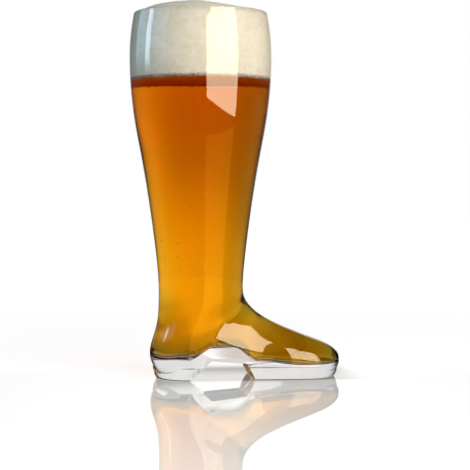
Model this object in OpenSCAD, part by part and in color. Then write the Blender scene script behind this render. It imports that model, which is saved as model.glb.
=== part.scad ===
// Beer boot glass, filled. One blown and moulded piece of glass in the shape of a riding boot
// holds the beer, and a head of foam stands on the beer and domes over the rim.
// The sock-shaped hollow runs down the shaft, round the heel and along to the toe.
// Lengths are in millimetres. Z is up from the table, X runs to the toe, Y is across.
// Places along X are measured from the shaft's centre line, and sections of the foot are
// rings of points that fan from level at the ankle to upright along the instep.

/* [Shaft] */
// Height of the rim above the table
rim_z = 260; // [240:1:290]
// Outer diameter across the rim
rim_d = 95; // [88:0.5:100]
// Outer diameter at the widest place, under the rim
calf_d = 101.6; // [101:0.2:112]
// Height of the widest place
calf_z = 228; // [210:1:236]
// Outer diameter at the ankle, the narrowest place
ankle_d = 60; // [54:0.5:66]
// Height of the ankle, where the shaft ends and the foot begins
ankle_z = 65; // [60:1:75]
// Thickness of the glass in the shaft and round the foot
wall = 3; // [2:0.1:4]

/* [Foot] */
// How far the heel stands out behind the shaft's centre line
heel_reach = 36.4; // [34:0.2:42]
// Height at which the heel stands out furthest
heel_z = 17.5; // [14:0.5:20]
// How far the toe stands out in front of the shaft's centre line
toe_reach = 100.4; // [94:0.2:112]
// Height of the tip of the toe
toe_z = 12; // [11:0.5:14]
// Height at which the line of the instep would pass over the tip of the toe
instep_z = 20; // [18:0.5:25]
// How far back from its tip the toe starts to turn down
toe_turn = 16.4; // [12:0.2:22]
// Width of the sole at the heel
heel_w = 52; // [48:0.5:56]
// Width of the sole at the ball of the foot
ball_w = 54; // [50:0.5:60]
// How much narrower the sole is at the arch, in all
waist = 4.4; // [0:0.2:8]

/* [Sole] */
// Height of the solid sole up to its seam with the foot
sole_h = 8.5; // [7:0.1:10]
// How far the sole's edge stands proud of the foot at the seam
seam_lip = 0.5; // [0.3:0.1:1]
// How far the sole's edge slopes up to the foot above the seam
seam_rise = 0.45; // [0.3:0.05:0.8]
// How far the sole draws in from its seam to the ground
sole_draft = 3; // [1.5:0.1:4]
// Start of the arch at the ground, behind the shaft's centre line
arch_back = 10; // [6:0.5:14]
// End of the arch at the ground, in front of the shaft's centre line
arch_front = 36.6; // [32:0.2:42]
// Height of the arch's ceiling at its heel end
arch_back_h = 14; // [10:0.2:15]
// Height of the arch's ceiling at its toe end
arch_front_h = 11.3; // [9:0.1:13]
// Run of the arch's sloping wall at the heel
arch_back_run = 15; // [10:0.5:18]
// Run of the arch's sloping wall at the toe
arch_front_run = 6; // [3:0.5:9]

/* [Hollow] */
// Height of the hollow's floor in the heel
heel_floor = 14.5; // [12:0.5:18]
// Height of the hollow's floor over the arch
arch_floor = 22; // [20:0.5:26]
// Height of the hollow's floor behind the ball of the foot
ball_floor = 12; // [10.5:0.5:15]
// Height of the hollow's floor at the toe
toe_floor = 9; // [7.5:0.5:10]
// Height of the round corner between the hollow's heel and its floor
hollow_corner = 10; // [6:0.5:14]
// Thickness of the glass at the tip of the toe
toe_wall = 3; // [2:0.1:5]

/* [Drink] */
// Height of the beer's surface
beer_z = 212; // [120:1:240]
// Height of the foam's dome above the rim
foam_rise = 8; // [2:0.5:12]

/* [Hidden] */

rim_r = rim_d / 2;
calf_r = calf_d / 2;
ankle_r = ankle_d / 2;
lip_r = wall / 2;
// The origin lies under the middle of the whole glass, so the shaft stands back from it.
shaft_x = (calf_r - toe_reach) / 2;
// How far one solid runs into or past another, so that they join or cut cleanly.
overrun = 2;
// How much smaller the foot's first section is than the end of the shaft that covers it.
tuck = 0.15;
foot_r = ankle_r - tuck;

// Rows of height, radius and slope, as shares of the rise and the growth from ankle to calf.
shin_shares = [[0, 0, 0.15], [0.153, 0.101, 1.02], [0.632, 0.697, 1.57], [1, 1, 0]];
// The instep's curve, as shares of the way from the ankle to the toe and up to the ankle.
instep_shares = [[0, 1], [0, 0.504], [0.4815, 0.333], [1, 0]];
// Where the sections have turned upright, as a share of the way from the ankle to the toe.
upright_share = 0.28;
// Where the hollow starts to fall from the arch, as a share of the arch's ceiling.
fall_share = 0.6;
// Place of a section's widest point at the ankle and in the foot, as shares of its length.
ankle_mid_share = 0.5;
foot_mid_share = 0.36;

// Squareness of a section: 2 is an ellipse, and more is squarer.
round_n = 2;
instep_n = 2.15;
sole_n = 4.5;
hollow_n = 3;
toe_top_n = 3;

// Depth of the foot inside the sole that covers it.
foot_bottom = sole_h / 4;
foot_corner = sole_h / 2;

around = 40;
heel_rings = 9;
corner_rings = 5;
arch_rings = 10;
ball_rings = 5;
toe_rings = 7;
shaft_rings = 28;
lip_steps = 5;
dome_steps = 12;
arc_steps = 14;
side_steps = 6;
facets = 96;

function mix(a, b, t) = a + (b - a) * t;
function ease(t) = let (s = max(0, min(1, t))) s * s * (3 - 2 * s);
function power(v, n) = sign(v) * abs(v) ^ n;
function toward(p, q, d) = p + (q - p) * d / norm(q - p);
// Distance along a path to each of its points.
function travel(path) =
    [for (i = 0, d = 0; i < len(path);
        d = d + (i + 1 < len(path) ? norm(path[i + 1] - path[i]) : 0), i = i + 1) d];
function bezier(p, t) =
    (1 - t) ^ 3 * p[0] + 3 * t * (1 - t) ^ 2 * p[1] + 3 * t ^ 2 * (1 - t) * p[2] + t ^ 3 * p[3];
function hermite(p, q, t) =
    mix(p[1], q[1], ease(t)) + (q[0] - p[0]) * t * (1 - t) * (p[2] * (1 - t) - q[2] * t);

// Growth of the shaft above the ankle, at a share of the way up to the calf.
function shin(f, i = 0) = let (p = shin_shares[i], q = shin_shares[i + 1])
    f <= q[0] || i + 2 == len(shin_shares)
        ? hermite(p, q, (f - p[0]) / (q[0] - p[0]))
        : shin(f, i + 1);
// Outer radius of the shaft at a height.
function shaft_r(z) = z < calf_z
    ? mix(ankle_r, calf_r, shin((z - ankle_z) / (calf_z - ankle_z)))
    : mix(calf_r, rim_r, ((z - calf_z) / (rim_z - calf_z)) ^ 2);
// Points up the shaft's profile between two heights, inside its outer face by inset.
function shaft_side(low, high, inset) = let (steps = ceil(shaft_rings * (high - low) / rim_z))
    [for (i = [0 : steps]) let (z = mix(low, high, i / steps)) [shaft_r(z) - inset, z]];

// Back of the heel at a height: it swells from the ankle and tucks in again above the sole.
function heel_x(z) = let (f = (ankle_z - z) / (ankle_z - heel_z))
    -mix(foot_r, heel_reach, (1 - cos(180 * f ^ 2)) / 2);

// Line of the instep from the front of the ankle to a point over the tip of the toe.
instep = [for (s = instep_shares)
    [mix(foot_r, toe_reach, s[0]), mix(instep_z, ankle_z, s[1])]];
// How far along that line it reaches x, found by halving.
function instep_t(x, low = 0, high = 1, tries = 24) = let (half = (low + high) / 2)
    tries == 0 ? half
    : bezier(instep, half)[0] > x ? instep_t(x, low, half, tries - 1)
    : instep_t(x, half, high, tries - 1);

upright_x = mix(ankle_r, toe_reach, upright_share);
upright_t = instep_t(upright_x);

// Middles of the sole's round heel and round toe, and its half width between them.
sole_back = heel_x(sole_h) - seam_lip;
sole_front = toe_reach - 2 * seam_lip;
heel_mid = sole_back + heel_w / 2;
ball_mid = sole_front - ball_w / 2;
function sole_half(x) = let (s = max(0, min(1, (x - heel_mid) / (ball_mid - heel_mid))))
    mix(heel_w, ball_w, s) / 2 - waist * (1 - cos(360 * s)) / 4;
// Half width of the foot over the sole, rounded off to nothing at a toe that ends at tip.
function foot_half(x, tip) = (sole_half(x) - seam_lip)
    * sqrt(1 - (max(0, x - ball_mid) / (tip - ball_mid)) ^ 2);

// Floor of the hollow: it rises over the arch and falls to the ball and the toe.
arch_top_back = arch_back_run - arch_back;
arch_top_front = arch_front - arch_front_run;
floor_rows = [
    [-arch_back, heel_floor],
    [arch_top_back, arch_floor],
    [mix(arch_top_back, arch_top_front, fall_share), arch_floor],
    [arch_front + wall, ball_floor],
    [ball_mid, toe_floor]];
function floor_z(x, i = 0) = let (p = floor_rows[i], q = floor_rows[i + 1])
    x <= q[0] || i + 2 == len(floor_rows)
        ? mix(p[1], q[1], ease((x - p[0]) / (q[0] - p[0])))
        : floor_z(x, i + 1);

// One section of the foot between its front point and its back point, each as x and z.
// The widest place is at a share mid of the way from the back, where it is half wide.
function section(front, back, half, mid, low_n, top_n) =
    [for (i = [0 : around - 1])
        let (c = cos(360 * i / around), s = sin(360 * i / around))
        let (n = c < 0 ? low_n : top_n)
        let (u = mid + (c < 0 ? mid : 1 - mid) * power(c, 2 / n))
        [mix(back[0], front[0], u), half * power(s, 2 / n), mix(back[1], front[1], u)]];

// The foot's sections. inset is 0 for the outside and the wall for the hollow.
function foot_sections(inset, rise) =
    let (hollow = inset > 0)
    let (low_n = hollow ? hollow_n : sole_n)
    let (corner = hollow ? hollow_corner : foot_corner)
    let (corner_z = corner + (hollow ? heel_floor : foot_bottom))
    let (corner_x = heel_x(corner_z - corner) + inset + corner)
    let (tip = toe_reach - (hollow ? toe_wall : 0))
    let (turn = tip - toe_turn)
    // Back points down the heel, round its corner and along the floor under the arch.
    let (down = [for (i = [0 : heel_rings])
        let (z = mix(ankle_z, corner_z, i / heel_rings)) [heel_x(z) + inset, z]])
    let (round = [for (i = [1 : corner_rings])
        let (a = 90 * i / corner_rings, z = corner_z - corner * sin(a))
        [heel_x(z) + inset + corner * (1 - cos(a)), z]])
    let (along = [for (i = [1 : arch_rings])
        let (x = mix(corner_x, upright_x, i / arch_rings))
        [x, hollow ? floor_z(x) : foot_bottom]])
    let (backs = concat(down, round, along))
    let (runs = travel(backs))
    let (fan = [for (i = [0 : len(backs) - 1])
        let (t = runs[i] / runs[len(runs) - 1], turned = ease(t))
        let (front = toward(bezier(instep, t * upright_t), backs[i], inset))
        section(front, backs[i],
            mix(foot_r, foot_half(upright_x, tip), turned) - inset,
            mix(ankle_mid_share, foot_mid_share, turned),
            mix(round_n, low_n, turned), mix(round_n, instep_n, turned))])
    // Upright sections along the instep, closer together where the toe turns in.
    let (places = concat(
        [for (i = [1 : ball_rings]) mix(upright_x, turn, i / ball_rings)],
        [for (i = [1 : toe_rings - 1]) mix(turn, tip, sin(90 * i / toe_rings))]))
    let (upright = [for (x = places)
        let (u = max(0, x - turn) / toe_turn)
        let (top = bezier(instep, instep_t(x))[1] - inset)
        let (floor = hollow ? floor_z(x) : foot_bottom)
        section(
            [x, mix(toe_z, top, (1 - u ^ toe_top_n) ^ (1 / toe_top_n))],
            [x, mix(toe_z, floor, sqrt(1 - u ^ 2))],
            foot_half(x, tip) - inset * sqrt(1 - (max(0, x - ball_mid) / (tip - ball_mid)) ^ 2),
            foot_mid_share, low_n, instep_n)])
    concat([[for (p = fan[0]) p + [0, 0, rise]]], fan, upright);

// A closed solid through a stack of sections, ending in a flat face or at a point.
module loft(sections, tip = undef) {
    last = len(sections) - 1;
    n = len(sections[0]);
    points = concat([for (s = sections) each s], tip == undef ? [] : [tip]);
    sides = [for (r = [0 : last - 1]) for (i = [0 : n - 1])
        let (a = r * n + i, b = r * n + (i + 1) % n)
        each [[a, b, b + n], [a, b + n, a + n]]];
    start = [[for (i = [0 : n - 1]) n - 1 - i]];
    end = tip == undef
        ? [[for (i = [0 : n - 1]) last * n + i]]
        : [for (i = [0 : n - 1]) [last * n + i, last * n + (i + 1) % n, len(points) - 1]];
    polyhedron(points, concat(start, sides, end));
}

module foot_form(inset, rise) {
    tip = toe_reach - (inset > 0 ? toe_wall : 0);
    loft(foot_sections(inset, rise), [tip, 0, toe_z]);
}

// Outline of the sole, drawn in by inset all round.
function sole_outline(inset, z) =
    let (back = [for (i = [0 : arc_steps]) let (a = 90 + 180 * i / arc_steps)
        [heel_mid, 0] + (heel_w / 2 - inset) * [cos(a), sin(a)]])
    let (front = [for (i = [0 : arc_steps]) let (a = -90 + 180 * i / arc_steps)
        [ball_mid, 0] + (ball_w / 2 - inset) * [cos(a), sin(a)]])
    let (xs = [for (i = [1 : side_steps - 1]) mix(heel_mid, ball_mid, i / side_steps)])
    [for (p = concat(
        back,
        [for (x = xs) [x, inset - sole_half(x)]],
        front,
        [for (i = [1 : len(xs)]) let (x = xs[len(xs) - i]) [x, sole_half(x) - inset]]))
        [p[0], p[1], z]];

// Rows of height and draft, as shares of the sole's height and of its whole draft.
sole_shares = [[1, 0], [0.45, 0.3], [0.12, 0.7], [0, 1]];

module sole() {
    loft(concat(
        [sole_outline(3 * seam_lip, sole_h + seam_rise)],
        [for (s = sole_shares) sole_outline(sole_draft * s[1], sole_h * s[0])]));
}

module arch() {
    deep = ball_w + overrun;
    rotate([90, 0, 0])
        linear_extrude(2 * deep, center = true)
            polygon([
                [-arch_back - overrun * arch_back_run / arch_back_h, -overrun],
                [arch_top_back, arch_back_h],
                [arch_top_front, arch_front_h],
                [arch_front + overrun * arch_front_run / arch_front_h, -overrun]]);
}

// The shaft's wall, with a fire-polished round lip.
module shaft_wall() {
    lip_z = rim_z - lip_r;
    inner = shaft_side(ankle_z, lip_z, wall);
    rotate_extrude($fn = facets)
        polygon(concat(
            shaft_side(ankle_z, lip_z, 0),
            [for (i = [1 : lip_steps]) let (a = 180 * i / (lip_steps + 1))
                [shaft_r(lip_z) - lip_r, lip_z] + lip_r * [cos(a), sin(a)]],
            [for (i = [1 : len(inner)]) inner[len(inner) - i]]));
}

// What fills the shaft's hollow between two heights.
module shaft_fill(low, high) {
    rotate_extrude($fn = facets)
        polygon(concat([[0, low]], shaft_side(low, high, wall), [[0, high]]));
}

module glass_boot() {
    color([0.92, 0.95, 0.94, 0.35])
        translate([shaft_x, 0, 0]) {
            shaft_wall();
            // The arch is cut from the foot and the sole in turn, which keeps their seam clean.
            difference() {
                union() {
                    difference() {
                        foot_form(0, overrun);
                        arch();
                    }
                    difference() {
                        sole();
                        arch();
                    }
                }
                foot_form(wall, 2 * overrun);
            }
        }
}

module beer() {
    color([0.93, 0.55, 0.05, 0.85])
        translate([shaft_x, 0, 0]) {
            shaft_fill(ankle_z + overrun, beer_z);
            foot_form(wall, 2 * overrun);
        }
}

module foam_head() {
    base_z = rim_z - lip_r;
    dome_r = shaft_r(base_z) - wall;
    dome = [for (i = [1 : dome_steps]) let (a = 90 * i / dome_steps)
        [dome_r * cos(a), base_z + (lip_r + foam_rise) * sin(a)]];
    color([0.96, 0.92, 0.84])
        translate([shaft_x, 0, 0])
            rotate_extrude($fn = facets)
                polygon(concat([[0, beer_z]], shaft_side(beer_z, base_z, wall), dome));
}

glass_boot();
beer();
foam_head();
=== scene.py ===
import math
import random

import bmesh
import bpy
from mathutils import Matrix, Vector, noise


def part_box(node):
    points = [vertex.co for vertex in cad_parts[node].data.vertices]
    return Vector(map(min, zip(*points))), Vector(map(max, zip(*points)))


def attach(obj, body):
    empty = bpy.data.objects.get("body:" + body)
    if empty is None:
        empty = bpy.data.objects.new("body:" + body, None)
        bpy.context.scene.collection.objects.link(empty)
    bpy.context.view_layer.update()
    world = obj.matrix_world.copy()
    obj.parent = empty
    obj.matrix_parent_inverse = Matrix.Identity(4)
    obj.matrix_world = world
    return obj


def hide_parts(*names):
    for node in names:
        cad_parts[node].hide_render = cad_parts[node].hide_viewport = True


# The frame

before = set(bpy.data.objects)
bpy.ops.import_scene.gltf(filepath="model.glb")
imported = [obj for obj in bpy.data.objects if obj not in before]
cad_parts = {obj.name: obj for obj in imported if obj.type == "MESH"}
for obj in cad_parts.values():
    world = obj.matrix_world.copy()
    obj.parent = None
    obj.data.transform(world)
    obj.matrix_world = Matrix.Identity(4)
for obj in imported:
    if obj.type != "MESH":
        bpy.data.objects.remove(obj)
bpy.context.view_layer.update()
glass_low, glass_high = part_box("glass_boot")

# Sizes of the glass, in metres, read from the frame or named as on the drawing

RIM_Z = glass_high.z
CALF_R = glass_high.y
SHAFT_X = glass_low.x + CALF_R
TOE_REACH = glass_high.x - SHAFT_X
BEER_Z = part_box("beer")[1].z

RIM_R = 0.0475
CALF_Z = 0.228
ANKLE_R = 0.030
ANKLE_Z = 0.065
WALL = 0.003
LIP_R = WALL / 2
LIP_BASE = RIM_Z - LIP_R

HEEL_REACH = 0.0364
HEEL_Z = 0.0175
TOE_Z = 0.012
INSTEP_Z = 0.020
TOE_TURN = 0.0164
TOE_WALL = 0.003
HEEL_W = 0.052
BALL_W = 0.054
WAIST = 0.0044
UPPER_WAIST = 0.10

SOLE_H = 0.0085
SEAM_LIP = 0.0005
SEAM_RISE = 0.00045
SOLE_DRAFT = 0.003
ARCH_BACK = 0.010
ARCH_FRONT = 0.0366
ARCH_BACK_H = 0.014
ARCH_FRONT_H = 0.0113
ARCH_BACK_RUN = 0.015
ARCH_FRONT_RUN = 0.006
ARCH_EDGE_R = 0.0008

HEEL_FLOOR = 0.0145
ARCH_FLOOR = 0.022
BALL_FLOOR = 0.012
TOE_FLOOR = 0.009
HOLLOW_CORNER = 0.010
FOOT_BOTTOM = SOLE_H / 4
FOOT_CORNER = SOLE_H / 2

# The drink reaches this far into the glass, so that no film of air shows between them
CONTACT = 0.00012

SHIN_SHARES = ((0, 0, 0), (0.153, 0.101, 1.02), (0.632, 0.697, 1.57), (1, 1, 0))
INSTEP_SHARES = ((0, 1), (0, 0.504), (0.4815, 0.333), (1, 0))
UPRIGHT_SHARE = 0.28
FALL_SHARE = 0.6
ANKLE_MID_SHARE = 0.5
FOOT_MID_SHARE = 0.36
ROUND_N = 2
INSTEP_N = 2.15
SOLE_N = 4.5
HOLLOW_N = 3
TOE_TOP_N = 3

AROUND = 112


# Curves

def mix(a, b, t):
    return a + (b - a) * t


def ease(t):
    t = max(0.0, min(1.0, t))
    return t * t * (3 - 2 * t)


def power(v, n):
    return math.copysign(abs(v) ** n, v)


def bezier(p, t):
    return ((1 - t) ** 3 * p[0] + 3 * t * (1 - t) ** 2 * p[1]
            + 3 * t ** 2 * (1 - t) * p[2] + t ** 3 * p[3])


def row_of(rows, x):
    """The pair of rows that x lies between."""
    for p, q in zip(rows, rows[1:]):
        if x <= q[0]:
            break
    return p, q


def shaft_r(z):
    """Outer radius of the shaft at a height."""
    if z >= CALF_Z:
        return mix(CALF_R, RIM_R, ((z - CALF_Z) / (RIM_Z - CALF_Z)) ** 2)
    f = (z - ANKLE_Z) / (CALF_Z - ANKLE_Z)
    p, q = row_of(SHIN_SHARES, f)
    run = q[0] - p[0]
    t = (f - p[0]) / run
    grown = mix(p[1], q[1], t * t * (3 - 2 * t)) + run * t * (1 - t) * (p[2] * (1 - t) - q[2] * t)
    return mix(ANKLE_R, CALF_R, grown)


def heel_x(z):
    """Back of the heel at a height."""
    f = (ANKLE_Z - z) / (ANKLE_Z - HEEL_Z)
    return -mix(ANKLE_R, HEEL_REACH, (1 - math.cos(math.pi * f * f)) / 2)


INSTEP = [Vector((mix(ANKLE_R, TOE_REACH, s), mix(INSTEP_Z, ANKLE_Z, t))) for s, t in INSTEP_SHARES]


def instep_t(x):
    """How far along the line of the instep it reaches x, found by halving."""
    low, high = 0.0, 1.0
    for _ in range(30):
        half = (low + high) / 2
        if bezier(INSTEP, half).x > x:
            high = half
        else:
            low = half
    return low


UPRIGHT_X = mix(ANKLE_R, TOE_REACH, UPRIGHT_SHARE)
UPRIGHT_T = instep_t(UPRIGHT_X)
HEEL_MID = heel_x(SOLE_H) - SEAM_LIP + HEEL_W / 2
BALL_MID = TOE_REACH - 2 * SEAM_LIP - BALL_W / 2


def sole_half(x):
    """Half the width of the sole at its seam."""
    s = max(0.0, min(1.0, (x - HEEL_MID) / (BALL_MID - HEEL_MID)))
    return mix(HEEL_W, BALL_W, s) / 2 - WAIST * (1 - math.cos(2 * math.pi * s)) / 4


ARCH_TOP_BACK = ARCH_BACK_RUN - ARCH_BACK
ARCH_TOP_FRONT = ARCH_FRONT - ARCH_FRONT_RUN
FLOOR_ROWS = (
    (-ARCH_BACK, HEEL_FLOOR),
    (ARCH_TOP_BACK, ARCH_FLOOR),
    (mix(ARCH_TOP_BACK, ARCH_TOP_FRONT, FALL_SHARE), ARCH_FLOOR),
    (ARCH_FRONT + WALL, BALL_FLOOR),
    (BALL_MID, TOE_FLOOR))


def floor_z(x):
    """Floor of the hollow: it rises over the arch and falls to the ball and the toe."""
    p, q = row_of(FLOOR_ROWS, x)
    return mix(p[1], q[1], ease((x - p[0]) / (q[0] - p[0])))


# Sections of the glass, as rings of points that all start in front and turn the same way

def level_ring(r, z):
    turn = 2 * math.pi / AROUND
    return [Vector((SHAFT_X + r * math.cos(i * turn), r * math.sin(i * turn), z))
            for i in range(AROUND)]


def waist_share(at):
    """How much of its width the upper keeps at a point: it draws in a little over the arch."""
    draw = ease((at.x - 0.010) / 0.026) * ease((0.062 - at.x) / 0.026) * ease((0.058 - at.y) / 0.020)
    return 1 - UPPER_WAIST * draw


def foot_ring(front, back, half, mid, low_n, top_n):
    """A section between its front and back points, widest at a share mid from the back."""
    ring = []
    for i in range(AROUND):
        a = 2 * math.pi * i / AROUND
        c, s = math.cos(a), math.sin(a)
        n = low_n if c < 0 else top_n
        u = mid + (mid if c < 0 else 1 - mid) * power(c, 2 / n)
        at = mix(back, front, u)
        ring.append(Vector((SHAFT_X + at.x, half * power(s, 2 / n) * waist_share(at), at.y)))
    return ring


def shaft_rings(low, high, inset, step=0.003):
    """Rings up the shaft, inside its outer face by inset."""
    steps = math.ceil((high - low) / step)
    heights = [mix(low, high, i / steps) for i in range(steps + 1)]
    return [level_ring(shaft_r(z) - inset, z) for z in heights]


def foot_rings(inset=0.0, grow=0.0):
    """Rings from the ankle round the heel and along to the toe: the outside, or the hollow's."""
    hollow = inset > 0
    low_n = HOLLOW_N if hollow else SOLE_N
    corner = HOLLOW_CORNER if hollow else FOOT_CORNER
    corner_z = corner + (HEEL_FLOOR if hollow else FOOT_BOTTOM)
    tip = TOE_REACH - (TOE_WALL if hollow else 0) + grow
    turn = tip - TOE_TURN
    gap = inset - grow

    def floor(x):
        return floor_z(x) - grow if hollow else FOOT_BOTTOM

    def at_heel(z, out=0.0):
        return Vector((heel_x(z) + gap + out, z))

    def pinch(x):
        return math.sqrt(max(0.0, 1 - (max(0.0, x - BALL_MID) / (tip - BALL_MID)) ** 2))

    backs = [at_heel(mix(ANKLE_Z, corner_z, i / 30)) for i in range(31)]
    for i in range(1, 13):
        a = math.pi / 2 * i / 12
        z = corner_z - (corner + grow) * math.sin(a)
        backs.append(at_heel(z, corner * (1 - math.cos(a))))
    start = backs[-1].x
    backs += [Vector((x, floor(x))) for x in (mix(start, UPRIGHT_X, i / 34) for i in range(1, 35))]
    runs = [0.0]
    for p, q in zip(backs, backs[1:]):
        runs.append(runs[-1] + (q - p).length)

    rings = []
    for back, run in zip(backs, runs):
        t = run / runs[-1]
        turned = ease(t)
        front = bezier(INSTEP, t * UPRIGHT_T)
        front += (back - front).normalized() * gap
        half = mix(ANKLE_R, (sole_half(UPRIGHT_X) - SEAM_LIP) * pinch(UPRIGHT_X), turned) - gap
        rings.append(foot_ring(front, back, half, mix(ANKLE_MID_SHARE, FOOT_MID_SHARE, turned),
                               mix(ROUND_N, low_n, turned), mix(ROUND_N, INSTEP_N, turned)))
    places = [mix(UPRIGHT_X, turn, i / 16) for i in range(1, 17)]
    places += [mix(turn, tip, math.sin(math.pi / 2 * i / 22)) for i in range(1, 22)]
    for x in places:
        u = max(0.0, x - turn) / TOE_TURN
        top = bezier(INSTEP, instep_t(x)).y - gap
        front = Vector((x, mix(TOE_Z, top, (1 - u ** TOE_TOP_N) ** (1 / TOE_TOP_N))))
        back = Vector((x, mix(TOE_Z, floor(x), math.sqrt(1 - u * u))))
        half = (sole_half(x) - SEAM_LIP - gap) * pinch(x)
        rings.append(foot_ring(front, back, half, FOOT_MID_SHARE, low_n, INSTEP_N))
    return rings, Vector((SHAFT_X + tip, 0, TOE_Z))


def eased(rings, join, reach=11, passes=22):
    """Smooths a stack of rings along its length near one ring, where two forms join."""
    for _ in range(passes):
        part = rings[join - reach:join + reach + 1]
        for i, (a, b, c) in enumerate(zip(part, part[1:], part[2:]), join - reach + 1):
            rings[i] = [(p + 2 * q + r) / 4 for p, q, r in zip(a, b, c)]
    return rings


# Building meshes

def new_piece(name, bm, smooth=True):
    """Makes an object of a bmesh, with its faces pointing outwards."""
    bmesh.ops.recalc_face_normals(bm, faces=bm.faces)
    for face in bm.faces:
        face.smooth = smooth
    mesh = bpy.data.meshes.new(name)
    bm.to_mesh(mesh)
    bm.free()
    piece = bpy.data.objects.new(name, mesh)
    bpy.context.scene.collection.objects.link(piece)
    return piece


def first_loop(bm, ring):
    """A closed loop of edges laid on a ring's points."""
    made = bmesh.ops.create_circle(bm, segments=len(ring), radius=1)
    loop = made["verts"]
    for vert, place in zip(loop, ring):
        vert.co = place
    return loop


def next_loop(bm, loop, ring):
    """Extrudes a loop of edges and lays the new loop on a ring's points."""
    edges = [bm.edges.get((a, b)) for a, b in zip(loop, loop[1:] + loop[:1])]
    made = bmesh.ops.extrude_edge_only(bm, edges=edges)
    fresh = {item for item in made["geom"] if isinstance(item, bmesh.types.BMVert)}
    following = []
    for vert, place in zip(loop, ring):
        twin = next(e.other_vert(vert) for e in vert.link_edges if e.other_vert(vert) in fresh)
        twin.co = place
        following.append(twin)
    return following


def stack(rings, start_tip=None, end_tip=None, wet=0):
    """A closed skin through a stack of rings. An end closes on its tip, or with a flat face.

    The first bands, as many as are wet, take the piece's second finish."""
    bm = bmesh.new()
    loop = first_loop(bm, rings[0])
    ends = [loop]
    for i, ring in enumerate(rings[1:]):
        loop = next_loop(bm, loop, ring)
        for face in {face for vert in loop for face in vert.link_faces}:
            face.material_index = int(i < wet)
    ends.append(loop)
    for end, tip in zip(ends, (start_tip, end_tip)):
        cap = bm.faces.new(end)
        if tip is not None:
            middle = bmesh.ops.poke(bm, faces=[cap])["verts"][0]
            middle.co = tip
    return bm


def joined(piece, other, operation):
    """Applies one exact boolean to a piece and removes the other solid."""
    step = piece.modifiers.new(operation, "BOOLEAN")
    step.operation = operation
    step.solver = "EXACT"
    step.object = other
    done = bpy.data.meshes.new_from_object(piece.evaluated_get(bpy.context.evaluated_depsgraph_get()))
    piece.modifiers.clear()
    piece.data = done
    bpy.data.objects.remove(other)
    return piece


def lip_rings():
    """Rings over the rounded lip, from the hollow's side to the outside."""
    middle = shaft_r(LIP_BASE) - LIP_R
    steps = 10
    return [level_ring(middle - LIP_R * math.cos(math.pi * i / steps),
                       LIP_BASE + LIP_R * math.sin(math.pi * i / steps)) for i in range(1, steps)]


def sole_ring(inset, z, around=44, sides=28):
    """The sole's outline, drawn in by inset all round."""
    ring = []
    for mid, width, start in ((HEEL_MID, HEEL_W, 90), (BALL_MID, BALL_W, -90)):
        for i in range(around + 1):
            a = math.radians(start + 180 * i / around)
            ring.append(Vector((mid + (width / 2 - inset) * math.cos(a),
                                (width / 2 - inset) * math.sin(a), z)))
        ways = [i / sides for i in range(1, sides)]
        if start == 90:
            ring += [Vector((mix(HEEL_MID, BALL_MID, s), 0, z)) for s in ways]
            for p in ring[-len(ways):]:
                p.y = inset - sole_half(p.x)
        else:
            ring += [Vector((mix(BALL_MID, HEEL_MID, s), 0, z)) for s in ways]
            for p in ring[-len(ways):]:
                p.y = sole_half(p.x) - inset
    for p in ring:
        p.x += SHAFT_X
    return ring


def make_sole():
    rings = [sole_ring(3 * SEAM_LIP, SOLE_H + SEAM_RISE)]
    for up, draft in ((1, 0), (0.97, 0.015), (0.7, 0.15), (0.45, 0.3), (0.25, 0.5), (0.12, 0.68),
                      (0.05, 0.8), (0.015, 0.9), (0, 1)):
        rings.append(sole_ring(SOLE_DRAFT * draft, SOLE_H * up))
    return new_piece("sole", stack(rings))


def fillet(before, corner, after, r, steps=6):
    """Points that round a corner of an outline."""
    to_before = (before - corner).normalized()
    to_after = (after - corner).normalized()
    half = to_before.angle(to_after) / 2
    reach = r / math.tan(half)
    middle = corner + (to_before + to_after).normalized() * r / math.sin(half)
    a, b = corner + to_before * reach - middle, corner + to_after * reach - middle
    return [middle + a.slerp(b, i / steps).normalized() * r for i in range(steps + 1)]


def make_arch():
    """The gap under the sole, with rounded edges, as a bar across the foot."""
    out = ARCH_BACK / 2
    outline = [Vector(p) for p in (
        (-ARCH_BACK - out, -out), (-ARCH_BACK - out, 0), (-ARCH_BACK, 0),
        (ARCH_TOP_BACK, ARCH_BACK_H), (ARCH_TOP_FRONT, ARCH_FRONT_H), (ARCH_FRONT, 0),
        (ARCH_FRONT + out, 0), (ARCH_FRONT + out, -out))]
    points = []
    for i, corner in enumerate(outline):
        before, after = outline[i - 1], outline[(i + 1) % len(outline)]
        if 2 <= i <= 5:
            points += fillet(before, corner, after, ARCH_EDGE_R)
        else:
            points.append(corner)
    # The outline drops a hair under the ground beside the arch, so only the round edges are cut
    drop = ARCH_EDGE_R / 40
    sides = [[Vector((SHAFT_X + p.x, y, p.y - (drop if p.y <= 0 else 0))) for p in points]
             for y in (-BALL_W, BALL_W)]
    return new_piece("arch", stack(sides))


def mark_edges(piece, degrees=32):
    """Smooth faces that stay crisp along sharp edges."""
    bm = bmesh.new()
    bm.from_mesh(piece.data)
    bmesh.ops.remove_doubles(bm, verts=bm.verts, dist=1e-6)
    bmesh.ops.dissolve_degenerate(bm, edges=bm.edges, dist=1e-6)
    for face in bm.faces:
        face.smooth = True
    for edge in bm.edges:
        edge.smooth = len(edge.link_faces) == 2 and edge.calc_face_angle() < math.radians(degrees)
    bm.to_mesh(piece.data)
    bm.free()


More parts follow.
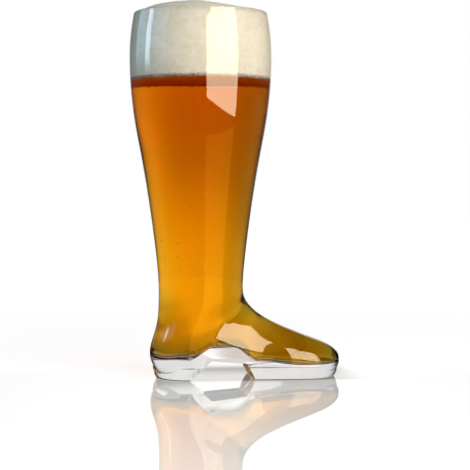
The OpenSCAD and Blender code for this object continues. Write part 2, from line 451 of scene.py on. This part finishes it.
def make_glass():
    """One piece of glass: a wall that turns over at the lip, a solid sole, and an arch cut in it."""
    inner, inner_tip = foot_rings(WALL)
    outer, outer_tip = foot_rings()
    hollow = eased(inner[::-1] + shaft_rings(ANKLE_Z, LIP_BASE, WALL)[1:], len(inner) - 1)
    wet = sum(1 for ring in hollow if ring[0].z < BEER_Z + WALL)
    shaft = shaft_rings(ANKLE_Z, LIP_BASE, 0)[::-1]
    rings = hollow + lip_rings() + eased(shaft + outer[1:], len(shaft) - 1)
    glass = new_piece("boot_glass", stack(rings, inner_tip, outer_tip, wet))
    for finish in (clear_glass("clear_glass"), clear_glass("clear_glass_wet", WET_SHINE)):
        glass.data.materials.append(finish)
    joined(glass, make_sole(), "UNION")
    joined(glass, make_arch(), "DIFFERENCE")
    mark_edges(glass)
    return glass


def make_beer():
    """The drink: it fills the hollow up to the foam, in touch with the glass all over."""
    rings, tip = foot_rings(WALL, CONTACT)
    ankle = len(rings) - 1
    rings = eased(rings[::-1] + shaft_rings(ANKLE_Z, BEER_Z, WALL - CONTACT)[1:], ankle)
    beer = new_piece("boot_beer", stack(rings, tip))
    mark_edges(beer)
    return beer


def foam_height(x, y):
    """Height of the froth over the start of the lip: high at the back of the boot, low in front."""
    reach = math.hypot(x, y) / (shaft_r(LIP_BASE) - WALL)
    edge = (1 - min(1.0, reach) ** 4) ** 0.75
    swell = mix(0.0080, 0.0045, ease((x + 0.012) / 0.045))
    peak = 0.0012 * math.exp(-((x + 0.018) ** 2 + y ** 2) / 0.009 ** 2)
    lumps = 0.0005 * noise.noise(Vector((x, y, 0)) / 0.011)
    froth = 0.00016 * noise.noise(Vector((x, y, 1)) / 0.0028)
    return edge * (swell + peak + lumps + froth)


def make_foam():
    """A head of froth on the beer. It touches the glass all round and domes over the rim."""
    reach = WALL - 1.3 * CONTACT
    bottom = BEER_Z - 0.0002
    rings = shaft_rings(bottom, LIP_BASE, reach)
    middle = Vector((SHAFT_X, 0, bottom))
    steps = 46
    for i in range(1, steps):
        share = math.cos(math.pi / 2 * i / steps)
        ring = level_ring((shaft_r(LIP_BASE) - reach) * share, LIP_BASE)
        for p in ring:
            p.z += foam_height(p.x - SHAFT_X, p.y)
        rings.append(ring)
    top = Vector((SHAFT_X, 0, LIP_BASE + foam_height(0, 0)))
    foam = new_piece("boot_foam", stack(rings, middle, top))
    for finish in (cream_foam(), wet_foam()):
        foam.data.materials.append(finish)
    for face in foam.data.polygons:
        under = face.center.z < BEER_Z
        face.material_index = int(under)
        face.use_smooth = not under
    return foam


def add_bubble(bm, z, r, depth, a):
    """One bubble at a height and a turn round the shaft, at a depth inside the wall."""
    out = shaft_r(z) - WALL - depth
    place = Matrix.Translation((SHAFT_X + out * math.cos(a), out * math.sin(a), z))
    bmesh.ops.create_icosphere(bm, subdivisions=1, radius=r, matrix=place)


def make_bubbles(count=320, at_line=420):
    """Fine bubbles that cling to the inside of the shaft, rise through the beer or gather
    under the froth."""
    draw = random.Random(7)
    bm = bmesh.new()
    for _ in range(count):
        z = mix(ANKLE_Z + 0.004, BEER_Z - 0.004, draw.random() ** 0.8)
        r = draw.uniform(0.00015, 0.00034)
        depth = r * 1.6 if draw.random() < 0.7 else draw.uniform(0.001, 0.012)
        a = draw.uniform(-math.pi, math.pi)
        add_bubble(bm, z, r, depth, a)
    for i in range(at_line):
        z = BEER_Z + 0.0001 - 0.0011 * draw.random() ** 2.2
        r = draw.uniform(0.00014, 0.00042)
        a = 2 * math.pi * (i + draw.random()) / at_line
        add_bubble(bm, z, r, r * 1.1, a)
    return new_piece("boot_bubbles", bm)


# Finishes

class Value:
    """A shader value, so that maths on it is written as plain Python."""

    def __init__(self, finish, socket):
        self.finish = finish
        self.socket = socket

    def __add__(self, other):
        return self.finish.maths("ADD", self, other)

    def __radd__(self, other):
        return self.finish.maths("ADD", other, self)

    def __sub__(self, other):
        return self.finish.maths("SUBTRACT", self, other)

    def __rsub__(self, other):
        return self.finish.maths("SUBTRACT", other, self)

    def __mul__(self, other):
        return self.finish.maths("MULTIPLY", self, other)

    def __rmul__(self, other):
        return self.finish.maths("MULTIPLY", other, self)


class Finish:
    """The nodes of one material, or of the world."""

    def __init__(self, owner):
        owner.use_nodes = True
        self.owner = owner
        self.tree = owner.node_tree
        self.tree.nodes.clear()

    def node(self, kind, settings=None, values=None, out=0):
        """Adds a node. settings are set first; values are numbers or links for its sockets."""
        made = self.tree.nodes.new(kind)
        for name, setting in (settings or {}).items():
            if name == "stops":
                ramp = made.color_ramp
                for place, _ in setting[2:]:
                    ramp.elements.new(place)
                for element, (place, colour) in zip(ramp.elements, setting):
                    element.position = place
                    element.color = (*colour, 1)
            else:
                setattr(made, name, setting)
        for name, value in (values or {}).items():
            socket = made.inputs[name]
            if isinstance(value, Value):
                self.tree.links.new(value.socket, socket)
            elif socket.type == "RGBA":
                socket.default_value = (*value, 1)
            else:
                socket.default_value = value
        return Value(self, made.outputs[out]) if made.outputs else made

    def maths(self, operation, *values):
        return self.node("ShaderNodeMath", {"operation": operation}, dict(enumerate(values)))

    def output(self, surface, volume=None):
        kind = "ShaderNodeOutput" + self.owner.id_type.capitalize()
        links = {"Surface": surface}
        if volume is not None:
            links["Volume"] = volume
        self.node(kind, None, links)
        return self.owner


def lets_light_through(finish, surface, tint):
    """Shadow rays pass straight through a clear piece, tinted by it."""
    path = finish.node("ShaderNodeLightPath")
    shadow = Value(finish, path.socket.node.outputs["Is Shadow Ray"])
    clear = finish.node("ShaderNodeBsdfTransparent", None, {"Color": tint})
    return finish.node("ShaderNodeMixShader", None, {0: shadow, 1: surface, 2: clear})


def place_on(finish, scale=(1, 1, 1)):
    """Places on a piece, in metres, with a pattern's own scale."""
    spots = finish.node("ShaderNodeTexCoord", out=3)
    return finish.node("ShaderNodeMapping", None, {"Vector": spots, "Scale": scale})


def clear_glass(name, shine=(1, 1, 1)):
    """Soda-lime glass: clear, glossy, and never quite even where it was blown."""
    finish = Finish(bpy.data.materials.new(name))
    spots = place_on(finish, scale=(1, 1, 0.5))
    swell = finish.node("ShaderNodeTexNoise", None, {"Vector": spots, "Scale": 38, "Detail": 1})
    uneven = finish.node("ShaderNodeBump", None, {"Height": swell, "Strength": 0.1, "Distance": 0.0003})
    glass = finish.node("ShaderNodeBsdfPrincipled", None, {
        "Base Color": (0.995, 1.0, 0.997), "Transmission Weight": 1, "IOR": 1.5,
        "Roughness": 0, "Specular Tint": shine, "Normal": uneven})
    return finish.output(lets_light_through(finish, glass, (0.93, 0.95, 0.94)))


def amber_beer():
    """Clear amber beer, whose colour deepens with the way that light takes through it."""
    finish = Finish(bpy.data.materials.new("amber_beer"))
    beer = finish.node("ShaderNodeBsdfPrincipled", None, {
        "Base Color": (1, 1, 1), "Transmission Weight": 1, "IOR": 1.33, "Roughness": 0,
        "Specular Tint": WET_SHINE})
    depth = finish.node("ShaderNodeVolumeAbsorption", None, {
        "Color": (0.976, 0.822, 0.0), "Density": 130})
    return finish.output(lets_light_through(finish, beer, (1.0, 0.82, 0.45)), depth)


def cream_foam():
    """Fine froth: pale cream, with small bubbles packed close and a few larger ones."""
    finish = Finish(bpy.data.materials.new("cream_foam"))
    spots = place_on(finish)
    fine = finish.node("ShaderNodeTexVoronoi", None, {"Vector": spots, "Scale": 900, "Randomness": 1})
    coarse = finish.node("ShaderNodeTexVoronoi", None, {"Vector": spots, "Scale": 260, "Randomness": 1})
    cloud = finish.node("ShaderNodeTexNoise", None, {"Vector": spots, "Scale": 60, "Detail": 4})
    tone = 0.5 * cloud + 0.3 * coarse + 0.2 * fine
    pale = finish.node("ShaderNodeValToRGB", {"stops": (
        (0.25, (0.84, 0.76, 0.62)), (0.75, (0.98, 0.94, 0.86)))}, {"Fac": tone})
    # Painted shade: dark specks for the hollows of open bubbles, where the froth stands on the beer
    low = fade(along(spots, (0, 0, 1)), BEER_Z + 0.0004, BEER_Z + 0.0026, 1.0, 0.0)
    grain = finish.node("ShaderNodeTexNoise", None, {"Vector": spots, "Scale": 1500, "Detail": 1})
    painted_hole_shade = low * fade(grain, 0.44, 0.54, 0.0, 1.0)
    colour = finish.node("ShaderNodeMixRGB", None, {
        "Fac": painted_hole_shade, "Color1": pale, "Color2": (0.16, 0.09, 0.07)})
    relief = finish.node("ShaderNodeBump", None, {
        "Height": 0.6 * fine + 0.4 * coarse, "Strength": 0.35, "Distance": 0.0006})
    foam = finish.node("ShaderNodeBsdfPrincipled", None, {
        "Base Color": colour, "Roughness": 0.75, "Specular IOR Level": 0.25, "Normal": relief,
        "Subsurface Weight": 0.25, "Subsurface Scale": 0.004, "Subsurface Radius": (1.0, 0.8, 0.55)})
    return finish.output(foam)


def wet_foam():
    """The underside of the froth, stained by the beer, with a painted glow that stands in for the light
    that seeps down through it.
    """
    finish = Finish(bpy.data.materials.new("wet_foam"))
    spots = place_on(finish)
    cloud = finish.node("ShaderNodeTexNoise", None, {"Vector": spots, "Scale": 240, "Detail": 3})
    colour = finish.node("ShaderNodeValToRGB", {"stops": (
        (0.3, (0.78, 0.26, 0.09)), (0.7, (0.96, 0.40, 0.15)))}, {"Fac": cloud})
    # Painted glow: the emission gives out light though the underside is no lamp
    foam = finish.node("ShaderNodeBsdfPrincipled", None, {
        "Base Color": colour, "Roughness": 0.6, "Specular IOR Level": 0.1,
        "Emission Color": (1.0, 0.25, 0.15), "Emission Strength": 0.11})
    return finish.output(foam)


def pale_bubble():
    finish = Finish(bpy.data.materials.new("pale_bubble"))
    spots = place_on(finish)
    cloud = finish.node("ShaderNodeTexNoise", None, {"Vector": spots, "Scale": 120})
    colour = finish.node("ShaderNodeValToRGB", {"stops": (
        (0.3, (0.55, 0.25, 0.04)), (0.7, (1.0, 0.72, 0.30)))}, {"Fac": cloud})
    bubble = finish.node("ShaderNodeBsdfPrincipled", None, {
        "Base Color": colour, "Roughness": 0.1, "IOR": 1.33})
    return finish.output(bubble)


def fade(value, low, high, at_low, at_high):
    """Runs smoothly from one level to another while a value goes from low to high."""
    return value.finish.node("ShaderNodeMapRange", {"interpolation_type": "SMOOTHSTEP"}, {
        "Value": value, "From Min": low, "From Max": high, "To Min": at_low, "To Max": at_high})


def rays(finish):
    """What kind of ray asks: straight from the camera, mirrored, or through a clear piece.

    A ray that a matt piece has scattered is none of these: it asks for light, not for a view.
    The last values are the share it keeps where it was mirrored inside a piece, and whether
    it only crossed one clear piece."""
    path = finish.node("ShaderNodeLightPath").socket.node.outputs
    camera, glossy, through, scattered, turned, crossed = (Value(finish, path[name]) for name in (
        "Is Camera Ray", "Is Glossy Ray", "Is Transmission Ray", "Diffuse Depth", "Glossy Depth",
        "Transmission Depth"))
    fresh = 1 - finish.maths("MINIMUM", scattered, 1.0)
    # A ray that a smooth piece lets through counts as glossy too
    return (camera, glossy * (1 - through) * fresh, through * fresh,
            fade(turned, 0.2, 1.0, 1.0, TURNED), fade(crossed, 2.2, 2.8, 1.0, 0.0))


def along(way, direction):
    """How far a place or a direction lies along another direction."""
    return way.finish.node("ShaderNodeVectorMath", {"operation": "DOT_PRODUCT"},
                           {0: way, 1: direction}, out=1)


def white_table():
    """A glossy white table, which mirrors the glass. Its white is its own, so the shadow stays soft.

    Glass and beer see it white far behind them, with a painted shade that greys it close by
    and darkens it on the room's side. A shade is also painted under the foot, and past the toe
    where glass and beer see it."""
    finish = Finish(bpy.data.materials.new("white_table"))
    camera, mirrored, through, kept, _ = rays(finish)
    spots = finish.node("ShaderNodeTexCoord", out=3)
    away = finish.node("ShaderNodeVectorMath", {"operation": "LENGTH"}, {0: spots}, out=1)
    behind = along(spots, AHEAD)
    unseen = 1 - camera - mirrored - through
    x, y = along(spots, (1, 0, 0)), along(spots, (0, 1, 0))
    # Painted shade: a soft dark patch on the table under the foot, darker still where the camera sees it
    under = (fade(x, -0.042, -0.030, 0.0, 1.0) * fade(x, 0.070, 0.095, 1.0, 0.0)
             * fade(y, -0.029, -0.024, 0.0, 1.0) * fade(y, 0.040, 0.075, 1.0, 0.0))
    # Painted shade on the table past the toe, seen only through glass and beer
    painted_shade_past_toe = (fade(x, 0.0, 0.05, 0.0, 1.0) * fade(y, 0.02, 0.06, 0.0, 1.0)
                * fade(y, 0.12, 0.22, 1.0, 0.0))
    toward = finish.node("ShaderNodeVectorMath", {"operation": "NORMALIZE"}, {0: spots})
    # Painted shade: where glass and beer mirror it, the table is dark unless it lies far behind them
    mirror = fade(behind, 1.0, 3.0, ROOM, 1.0) * fade(along(toward, AHEAD), 0.88, 1.0, ROOM, 1.0)
    # Painted shade: seen through glass and beer, the table greys close by and goes dark on the room's
    # side
    lens = (kept * fade(behind, -0.1, 0.05, ROOM_THROUGH, 1.0)
            * fade(away, 0.15, 0.7, TABLE_NEAR_PAINTED_SHADE, 1.0)
            * fade(along(toward, BESIDE), -0.45, -0.08, WALL_SIDE, 1.0))
    level = camera + unseen + mirrored * mirror + through * lens
    matte = finish.node("ShaderNodeBsdfDiffuse", None, {"Color": (0.9, 0.9, 0.9)})
    glow = (1 - unseen) * fade(away, 0.2, 1.2, TABLE_WHITE, TABLE_FAR)
    white = finish.node("ShaderNodeEmission", None, {"Color": (1, 1, 1), "Strength": glow})
    lit = finish.node("ShaderNodeAddShader", None, {0: matte, 1: white})
    dark = finish.node("ShaderNodeBsdfDiffuse", None, {"Color": (0.01, 0.01, 0.01)})
    base = finish.node("ShaderNodeMixShader", None, {
        0: level * (1 - under * (PAINTED_SHADE_UNDER_FOOT + SEEN_SHADE * camera)) * (1 - PAINTED_SHADE_PAST_TOE * painted_shade_past_toe * through),
        1: dark, 2: lit})
    clear = finish.node("ShaderNodeBsdfGlossy", None, {"Color": (1, 1, 1), "Roughness": 0.02})
    # Painted reflection colour: for views that have already been mirrored, the table's mirror is tinted
    # amber
    amber = finish.node("ShaderNodeBsdfGlossy", None, {"Color": PAINTED_AMBER_SHINE, "Roughness": 0.02})
    shine = finish.node("ShaderNodeMixShader", None, {0: mirrored, 1: clear, 2: amber})
    # The shine comes in just past the middle of the glass and wears off far from it. What glass
    # mirrors of the window in the table ends along a line across the table.
    graze = (TABLE_SHINE * finish.node("ShaderNodeFresnel", None, {"IOR": 1.7}) * (1 - through)
             * (1 - mirrored * fade(along(spots, (-0.134, 1, 0)), -0.56, -0.53, 1.0, 0.0))
             * fade(away, 0.4, 1.2, 1.0, 0.0) * fade(behind, 0.0, 0.06, 1.0, 0.0))
    return finish.output(finish.node("ShaderNodeMixShader", None, {0: graze, 1: base, 2: shine}))


# Lamps, table, world and camera

def soft_lamp(name, left, right, low, high, colour, strength, mirrored, blur=0.004):
    """An upright lamp between two places on the plan, each as a turn round the shaft and a way out.

    A mirrored lamp shows in glass and beer alone, and comes up to its full strength over a
    height of blur. The others light the matt pieces alone."""
    ends = []
    for turn, away in (left, right):
        a = math.radians(turn)
        ends.append(Vector((SHAFT_X + away * math.sin(a), -away * math.cos(a), (low + high) / 2)))
    data = bpy.data.lights.new(name, "AREA")
    data.shape = "RECTANGLE"
    data.size, data.size_y = (ends[1] - ends[0]).length, high - low
    # At this power a strength of 1 in the lamp's nodes is as bright as white
    data.energy = 4 * data.size * data.size_y
    data.cycles.use_multiple_importance_sampling = mirrored
    finish = Finish(data)
    if mirrored:
        path = finish.node("ShaderNodeLightPath").socket.node.outputs
        scattered, inside = (finish.maths("MINIMUM", Value(finish, path[name]), 1.0)
                             for name in ("Diffuse Depth", "Transmission Depth"))
        again = fade(Value(finish, path["Glossy Depth"]), 1.2, 1.8, 1.0, LAMP_AGAIN)
        strength = strength * (1 - scattered) * (again + inside * (LAMP_INSIDE - again))
        height = along(finish.node("ShaderNodeNewGeometry"), (0, 0, 1))
        strength = strength * fade(height, low, low + blur, 0.0, 1.0)
    finish.output(finish.node("ShaderNodeEmission", None, {"Color": colour, "Strength": strength}))
    lamp = bpy.data.objects.new(name, data)
    lamp.location = (ends[0] + ends[1]) / 2
    facing = Vector((0, 0, 1)).cross(ends[1] - ends[0])
    lamp.rotation_euler = facing.to_track_quat("-Z", "Y").to_euler()
    lamp.visible_camera = False
    lamp.visible_diffuse = not mirrored
    lamp.visible_glossy = mirrored
    lamp.visible_transmission = mirrored
    bpy.context.scene.collection.objects.link(lamp)
    return lamp


def white_world():
    """White behind everything. The room in front of the glass, which it mirrors, is dark."""
    world = bpy.data.worlds.new("studio")
    finish = Finish(world)
    camera, mirrored, through, kept, clear = rays(finish)
    way = finish.node("ShaderNodeTexCoord")
    ahead, beside, up = (along(way, direction) for direction in (AHEAD, BESIDE, (0, 0, 1)))
    mirror = fade(ahead, 0.88, 1.0, ROOM, 1.0)
    high = fade(beside, 0.1, 0.5, WALL_HIGH, WALL_LEFT)
    wall = (fade(up, 0.04, 0.16, 1.0, high) * fade(up, 0.22, 0.45, 1.0, 0.05)
            * fade(beside, -0.45, -0.08, WALL_SIDE, 1.0))
    wall = kept * ((1 - clear) * wall + clear * fade(up, 0.3, 0.6, WALL_CLEAR, 0.05))
    wall = wall * (fade(ahead, 0.25, 0.8, ROOM_THROUGH, 1.0) + fade(ahead, -0.95, -0.7, ROOM_BACK, 0.0))
    unseen = 1 - camera - mirrored - through
    strength = camera + mirrored * mirror + through * wall + unseen * AMBIENT
    finish.output(finish.node("ShaderNodeBackground", None, {"Color": (1, 1, 1), "Strength": strength}))
    bpy.context.scene.world = world


# The scene

# Share of its own mirror shine that glass keeps where beer touches it
WET_SHINE = (0, 0, 0)

# Light on the matt pieces, and the dark room as mirrored, as seen through glass, and far back
AMBIENT = 0.29
ROOM = 0.0
ROOM_THROUGH = 0.04
ROOM_BACK = 0.6

# Share of a view that is left where it was mirrored inside a piece
TURNED = 0.85

# The white wall as glass and beer see it: high up, high up on the left, aside, and through glass alone
WALL_HIGH = 0.66
WALL_LEFT = 0.92
WALL_SIDE = 0.70
WALL_CLEAR = 0.8

# Shares of a lamp that show through a piece, and where it has been mirrored more than once
LAMP_INSIDE = 0.12
LAMP_AGAIN = 0.5

# The table's own white, its painted shades under the foot, past the toe and close by as glass sees it,
# and its shine
TABLE_HALF = 6
TABLE_Z = -0.00015
TABLE_WHITE = 0.61
TABLE_FAR = 0.78
TABLE_NEAR_PAINTED_SHADE = 0.6
PAINTED_SHADE_UNDER_FOOT = 0.35
SEEN_SHADE = 0.2
PAINTED_SHADE_PAST_TOE = 0.4
TABLE_SHINE = 1.2
# Painted amber tint in the table's mirror, for views that have already been mirrored
PAINTED_AMBER_SHINE = (1.0, 0.55, 0.04)

CAMERA_AWAY = 1.04
CAMERA_TURN = math.radians(-7.5)
CAMERA_TILT = math.radians(-1.67)
CAMERA_Z = 0.132
LENS = 110.95
AHEAD = (-math.sin(CAMERA_TURN), math.cos(CAMERA_TURN), 0)
BESIDE = (math.cos(CAMERA_TURN), math.sin(CAMERA_TURN), 0)

glass = make_glass()
beer = make_beer()
foam = make_foam()
bubbles = make_bubbles()

for piece, node, slot, material in (
        (glass, "glass_boot", "clear_glass", None),
        (beer, "beer", "amber_beer", amber_beer()),
        (foam, "foam_head", "cream_foam", None),
        (bubbles, None, "amber_beer", pale_bubble())):
    if material:
        piece.data.materials.append(material)
    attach(piece, "root")
    if node:
        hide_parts(node)

bm = bmesh.new()
bmesh.ops.create_grid(bm, x_segments=1, y_segments=1, size=TABLE_HALF)
table = new_piece("table", bm, smooth=False)
for vert in table.data.vertices:
    vert.co.z = TABLE_Z
table.data.materials.append(white_table())

white_world()
WINDOW = (3.3, 1.2), (54.5, 0.82), 0.02, 0.76
soft_lamp("window_shine", *WINDOW, (1.0, 0.82, 0.54), 9, True)
soft_lamp("window_light", *WINDOW, (1.0, 0.92, 0.80), 2.7, False)
soft_lamp("side_veil", (-130, 1.1), (-61.5, 0.95), 0.2, 0.9, (0.38, 0.74, 1.0), 1.9, True, blur=0.2)
soft_lamp("side_shine", (-103, 0.9), (-93, 0.9), 0.22, 0.6, (0.62, 0.83, 1.0), 6, True, blur=0.1)
soft_lamp("side_light", (-120, 0.9), (-70, 0.9), 0.1, 0.7, (0.42, 0.74, 1.0), 0.75, False)

camera_data = bpy.data.cameras.new("camera")
camera_data.lens = LENS
camera_data.sensor_width = 36
camera = bpy.data.objects.new("camera", camera_data)
camera.location = (CAMERA_AWAY * math.sin(CAMERA_TURN), -CAMERA_AWAY * math.cos(CAMERA_TURN), CAMERA_Z)
camera.rotation_euler = (math.pi / 2 + CAMERA_TILT, 0, CAMERA_TURN)
bpy.context.scene.collection.objects.link(camera)
bpy.context.scene.camera = camera
bpy.context.scene.view_settings.view_transform = "Standard"
